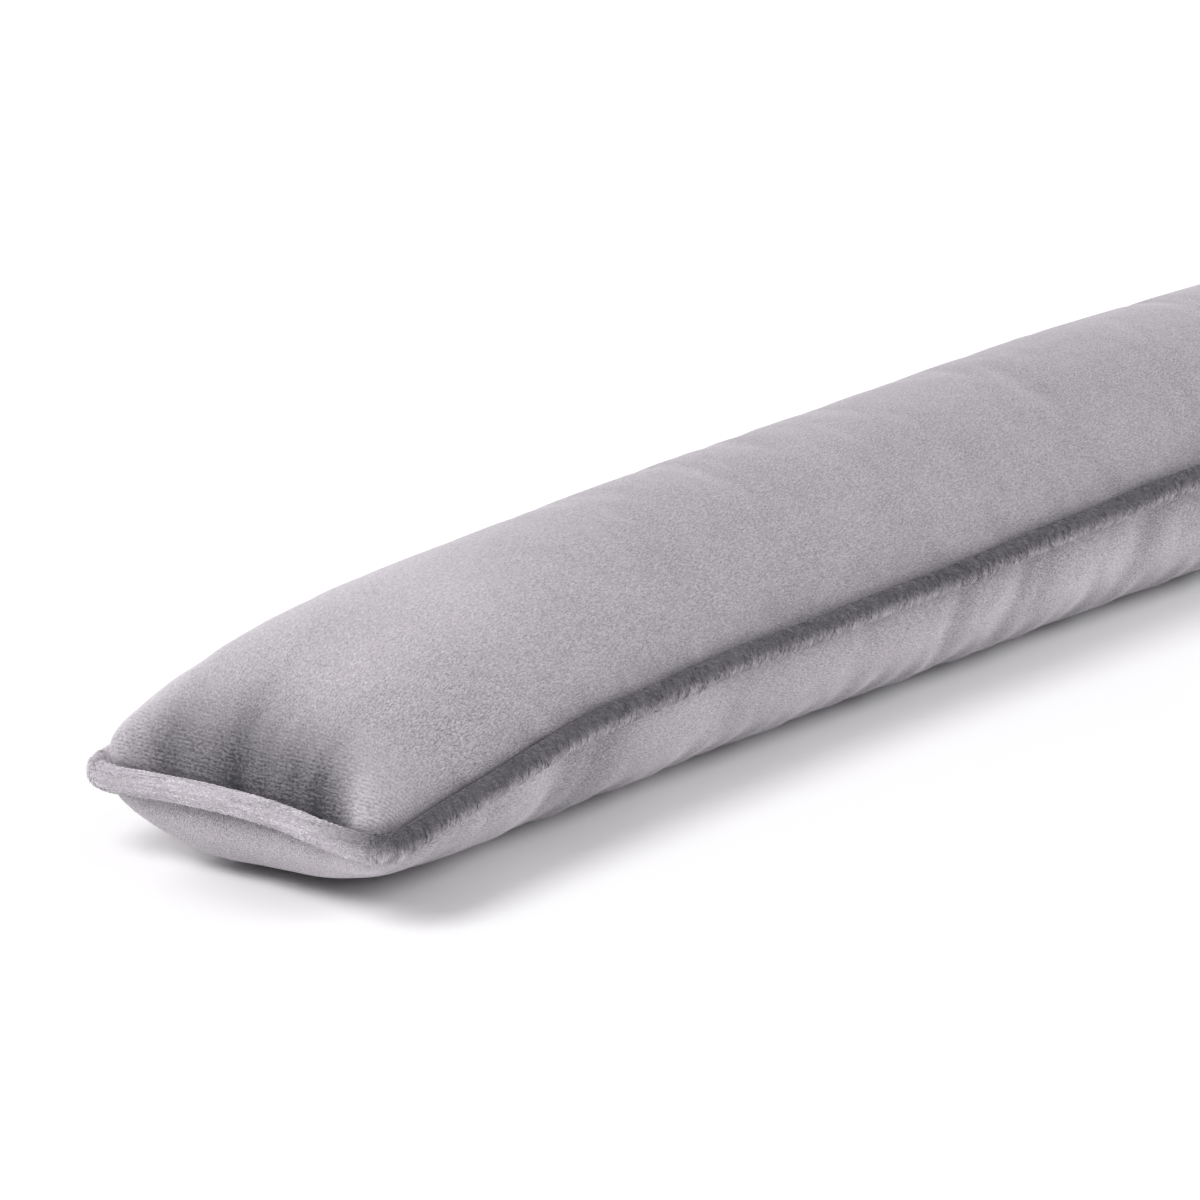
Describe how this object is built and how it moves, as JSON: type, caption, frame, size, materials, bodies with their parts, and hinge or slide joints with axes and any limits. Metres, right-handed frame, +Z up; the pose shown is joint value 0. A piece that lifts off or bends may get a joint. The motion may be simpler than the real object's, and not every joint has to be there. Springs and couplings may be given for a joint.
{
  "type": "draught excluder",
  "caption": "Long stuffed velour cushion with thick covered piping round its seam, laid along the foot of a door to stop draughts.",
  "frame": {"origin": "on the floor, under the middle of the cushion", "axes": "+X along the cushion, +Y from the front side seam to the back side seam, +Z up"},
  "size_m": [0.8854, 0.141, 0.095],
  "materials": {
    "velour_panels": "short matt velour pile, warm light grey",
    "velour_piping": "the same velour cut on the cross over a thick cord"
  },
  "bodies": {
    "root": {"stuffed_cushion": "velour_panels", "seam_piping": "velour_piping"}
  },
  "joints": []
}
